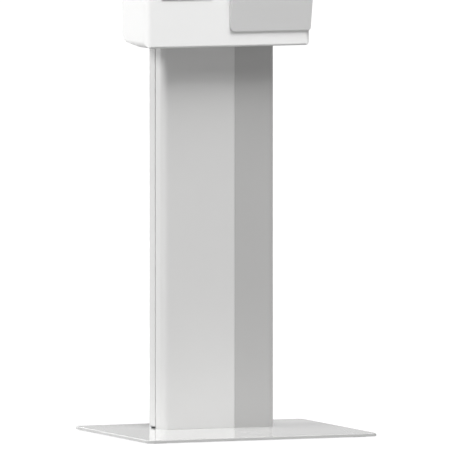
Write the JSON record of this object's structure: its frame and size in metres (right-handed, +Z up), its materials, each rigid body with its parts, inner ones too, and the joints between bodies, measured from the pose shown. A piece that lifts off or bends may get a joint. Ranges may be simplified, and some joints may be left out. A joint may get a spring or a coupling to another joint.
{
  "type": "kiosk floor stand",
  "caption": "Self-service kiosk floor stand: thin base plate, two-tone box column with rear door, head with touch display, scanner hood and receipt printer.",
  "frame": {"origin": "on the floor below the middle of the base plate", "axes": "+Z up, +X to the user's right when facing the display, +Y away from the user"},
  "size_m": [0.508, 0.412, 1.58],
  "materials": {
    "base_white": "glossy white powder coat",
    "white_powder": "satin white powder coat",
    "grey_powder": "satin light grey powder coat",
    "spine_steel": "dark primer coat",
    "zinc_steel": "zinc plated",
    "lock_chrome": "nickel plated",
    "bare_aluminium": "plain sheet",
    "black_metal": "black anodised",
    "black_plastic": "matt",
    "grey_plastic": "fine texture",
    "pad_rubber": "matt",
    "dark_glass": "polished, black backed",
    "paper": "thermal paper"
  },
  "bodies": {
    "stand": {"base_plate": "base_white", "base_pads": "pad_rubber", "cable_grommet": "pad_rubber", "spine": "spine_steel", "white_shell": "white_powder", "accent_shell": "grey_powder", "shell_ribs": "spine_steel", "top_collar": "white_powder", "door_pivot_lower": "zinc_steel", "door_pivot_upper": "zinc_steel", "column_lock_keeper": "zinc_steel", "inlet_bracket": "spine_steel", "power_inlet": "black_plastic", "power_supply": "bare_aluminium", "head_shell": "white_powder", "head_chassis": "spine_steel", "display_rails": "spine_steel", "display_panel": "bare_aluminium", "display_glass": "dark_glass", "computer": "black_metal", "scanner_hood": "grey_powder", "scan_window": "dark_glass", "scanner_module": "black_plastic", "scanner_bracket": "spine_steel", "printer_body": "black_plastic", "printer_bezel": "grey_plastic", "printer_hinge_pin": "zinc_steel", "paper_spindle": "black_plastic", "print_head": "black_metal", "hatch_pivots": "zinc_steel", "head_lock_keeper": "zinc_steel"},
    "column_door": {"column_door": "white_powder", "column_lock_body": "lock_chrome"},
    "column_lock": {"column_lock_cam": "zinc_steel"},
    "head_hatch": {"hatch": "white_powder", "head_lock_body": "lock_chrome"},
    "head_lock": {"head_lock_cam": "zinc_steel"},
    "printer_flap": {"printer_door": "grey_plastic"},
    "roll": {"paper_roll": "paper"},
    "rocker": {"power_rocker": "black_plastic"}
  },
  "joints": [
    {"name": "column_door_hinge", "type": "hinge", "parent": "stand", "child": "column_door", "pos_m": [-0.118, 0.11, 0.4], "axis": [0, 0, 1], "range_deg": [0, 110]},
    {"name": "column_lock_turn", "type": "hinge", "parent": "column_door", "child": "column_lock", "pos_m": [0.095, 0.117, 0.43], "axis": [0, -1, 0], "range_deg": [0, 90]},
    {"name": "head_hatch_hinge", "type": "hinge", "parent": "stand", "child": "head_hatch", "pos_m": [-0.158, 0.113, 1.2], "axis": [0, 0, 1], "range_deg": [0, 110]},
    {"name": "head_lock_turn", "type": "hinge", "parent": "head_hatch", "child": "head_lock", "pos_m": [0.14, 0.118, 1.207], "axis": [0, -1, 0], "range_deg": [0, 90]},
    {"name": "printer_flap_hinge", "type": "hinge", "parent": "stand", "child": "printer_flap", "pos_m": [-0.091, -0.012, 0.9085], "axis": [1, 0, 0], "range_deg": [0, 80]},
    {"name": "paper_roll_spin", "type": "hinge", "parent": "stand", "child": "roll", "pos_m": [-0.091, 0.016, 0.944], "axis": [1, 0, 0], "continuous": true},
    {"name": "power_rocker_tilt", "type": "hinge", "parent": "stand", "child": "rocker", "pos_m": [0.075, 0.087, 0.104], "axis": [1, 0, 0], "range_deg": [-16, 0]}
  ]
}
